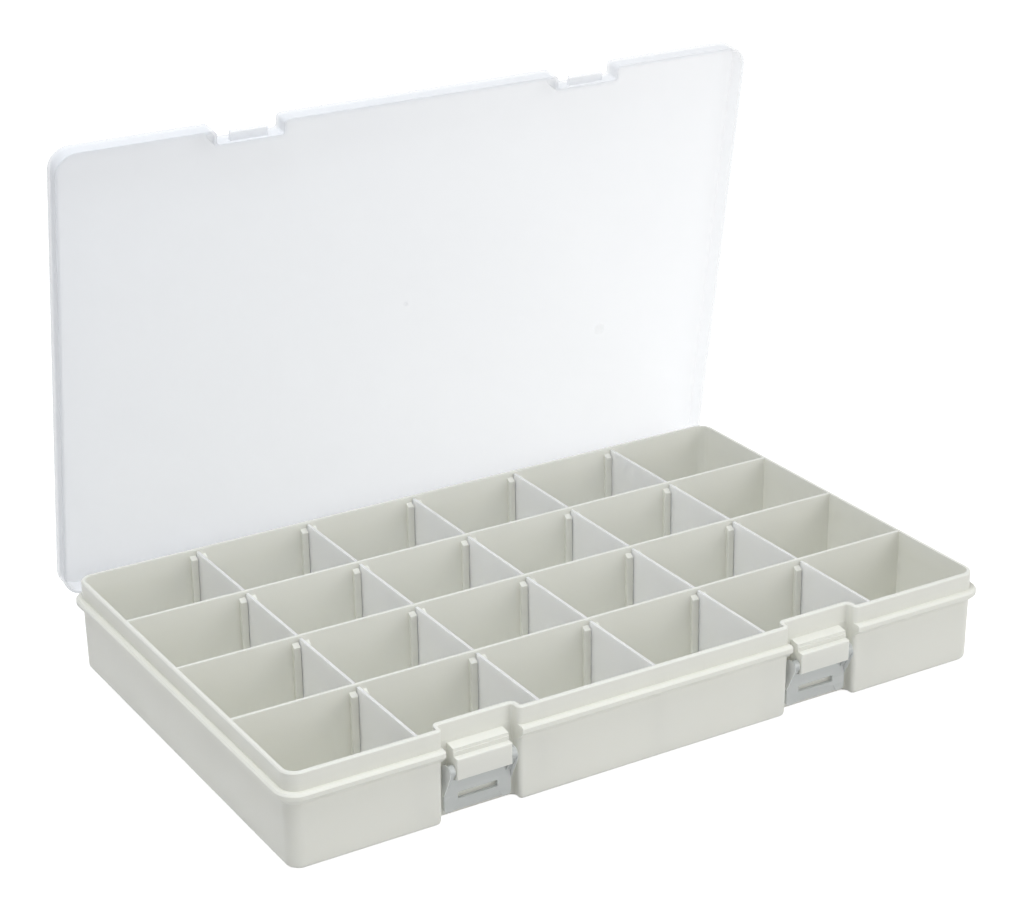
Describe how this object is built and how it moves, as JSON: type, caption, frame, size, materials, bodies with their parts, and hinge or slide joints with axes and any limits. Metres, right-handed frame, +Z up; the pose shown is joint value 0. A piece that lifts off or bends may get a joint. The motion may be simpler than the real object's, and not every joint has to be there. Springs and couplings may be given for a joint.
{
  "type": "tackle box",
  "caption": "Compartment box with a moulded tray, lift-out dividers, a translucent lid on pinned hinges and swing latches at the front.",
  "frame": {"origin": "centre of the tray's underside, on its flat gate pad", "axes": "+X along the tray's length, +Y towards the hinges, +Z up"},
  "size_m": [0.3392, 0.2258, 0.2384],
  "materials": {
    "tray_plastic": "satin ivory polypropylene",
    "lid_plastic": "milky translucent polypropylene",
    "latch_plastic": "satin grey translucent polypropylene",
    "divider_plastic": "frosted translucent polypropylene",
    "pin_steel": "drawn wire"
  },
  "bodies": {
    "tray": {"tray": "tray_plastic", "hinge_pin_left": "pin_steel", "hinge_pin_right": "pin_steel"},
    "lid": {"lid": "lid_plastic"},
    "latch_left": {"latch_left": "latch_plastic"},
    "latch_right": {"latch_right": "latch_plastic"},
    "divider_r1_c1": {"divider_r1_c1": "divider_plastic"},
    "divider_r1_c2": {"divider_r1_c2": "divider_plastic"},
    "divider_r1_c3": {"divider_r1_c3": "divider_plastic"},
    "divider_r1_c4": {"divider_r1_c4": "divider_plastic"},
    "divider_r1_c5": {"divider_r1_c5": "divider_plastic"},
    "divider_r2_c1": {"divider_r2_c1": "divider_plastic"},
    "divider_r2_c2": {"divider_r2_c2": "divider_plastic"},
    "divider_r2_c3": {"divider_r2_c3": "divider_plastic"},
    "divider_r2_c4": {"divider_r2_c4": "divider_plastic"},
    "divider_r2_c5": {"divider_r2_c5": "divider_plastic"},
    "divider_r3_c1": {"divider_r3_c1": "divider_plastic"},
    "divider_r3_c2": {"divider_r3_c2": "divider_plastic"},
    "divider_r3_c3": {"divider_r3_c3": "divider_plastic"},
    "divider_r3_c4": {"divider_r3_c4": "divider_plastic"},
    "divider_r3_c5": {"divider_r3_c5": "divider_plastic"},
    "divider_r4_c1": {"divider_r4_c1": "divider_plastic"},
    "divider_r4_c2": {"divider_r4_c2": "divider_plastic"},
    "divider_r4_c3": {"divider_r4_c3": "divider_plastic"},
    "divider_r4_c4": {"divider_r4_c4": "divider_plastic"},
    "divider_r4_c5": {"divider_r4_c5": "divider_plastic"}
  },
  "joints": [
    {"name": "lid_hinge", "type": "hinge", "parent": "tray", "child": "lid", "pos_m": [0, 0.1051, 0.02845], "axis": [-1, 0, 0], "range_deg": [-81.2, 98.8]},
    {"name": "latch_left_pivot", "type": "hinge", "parent": "tray", "child": "latch_left", "pos_m": [-0.083, -0.102, 0.0232], "axis": [-1, 0, 0], "range_deg": [0, 195]},
    {"name": "latch_right_pivot", "type": "hinge", "parent": "tray", "child": "latch_right", "pos_m": [0.083, -0.102, 0.0232], "axis": [-1, 0, 0], "range_deg": [0, 195]},
    {"name": "divider_r1_c1_lift", "type": "slide", "parent": "tray", "child": "divider_r1_c1", "axis": [0, 0, 1], "range_m": [0, 0.045]},
    {"name": "divider_r1_c2_lift", "type": "slide", "parent": "tray", "child": "divider_r1_c2", "axis": [0, 0, 1], "range_m": [0, 0.045]},
    {"name": "divider_r1_c3_lift", "type": "slide", "parent": "tray", "child": "divider_r1_c3", "axis": [0, 0, 1], "range_m": [0, 0.045]},
    {"name": "divider_r1_c4_lift", "type": "slide", "parent": "tray", "child": "divider_r1_c4", "axis": [0, 0, 1], "range_m": [0, 0.045]},
    {"name": "divider_r1_c5_lift", "type": "slide", "parent": "tray", "child": "divider_r1_c5", "axis": [0, 0, 1], "range_m": [0, 0.045]},
    {"name": "divider_r2_c1_lift", "type": "slide", "parent": "tray", "child": "divider_r2_c1", "axis": [0, 0, 1], "range_m": [0, 0.045]},
    {"name": "divider_r2_c2_lift", "type": "slide", "parent": "tray", "child": "divider_r2_c2", "axis": [0, 0, 1], "range_m": [0, 0.045]},
    {"name": "divider_r2_c3_lift", "type": "slide", "parent": "tray", "child": "divider_r2_c3", "axis": [0, 0, 1], "range_m": [0, 0.045]},
    {"name": "divider_r2_c4_lift", "type": "slide", "parent": "tray", "child": "divider_r2_c4", "axis": [0, 0, 1], "range_m": [0, 0.045]},
    {"name": "divider_r2_c5_lift", "type": "slide", "parent": "tray", "child": "divider_r2_c5", "axis": [0, 0, 1], "range_m": [0, 0.045]},
    {"name": "divider_r3_c1_lift", "type": "slide", "parent": "tray", "child": "divider_r3_c1", "axis": [0, 0, 1], "range_m": [0, 0.045]},
    {"name": "divider_r3_c2_lift", "type": "slide", "parent": "tray", "child": "divider_r3_c2", "axis": [0, 0, 1], "range_m": [0, 0.045]},
    {"name": "divider_r3_c3_lift", "type": "slide", "parent": "tray", "child": "divider_r3_c3", "axis": [0, 0, 1], "range_m": [0, 0.045]},
    {"name": "divider_r3_c4_lift", "type": "slide", "parent": "tray", "child": "divider_r3_c4", "axis": [0, 0, 1], "range_m": [0, 0.045]},
    {"name": "divider_r3_c5_lift", "type": "slide", "parent": "tray", "child": "divider_r3_c5", "axis": [0, 0, 1], "range_m": [0, 0.045]},
    {"name": "divider_r4_c1_lift", "type": "slide", "parent": "tray", "child": "divider_r4_c1", "axis": [0, 0, 1], "range_m": [0, 0.045]},
    {"name": "divider_r4_c2_lift", "type": "slide", "parent": "tray", "child": "divider_r4_c2", "axis": [0, 0, 1], "range_m": [0, 0.045]},
    {"name": "divider_r4_c3_lift", "type": "slide", "parent": "tray", "child": "divider_r4_c3", "axis": [0, 0, 1], "range_m": [0, 0.045]},
    {"name": "divider_r4_c4_lift", "type": "slide", "parent": "tray", "child": "divider_r4_c4", "axis": [0, 0, 1], "range_m": [0, 0.045]},
    {"name": "divider_r4_c5_lift", "type": "slide", "parent": "tray", "child": "divider_r4_c5", "axis": [0, 0, 1], "range_m": [0, 0.045]}
  ]
}
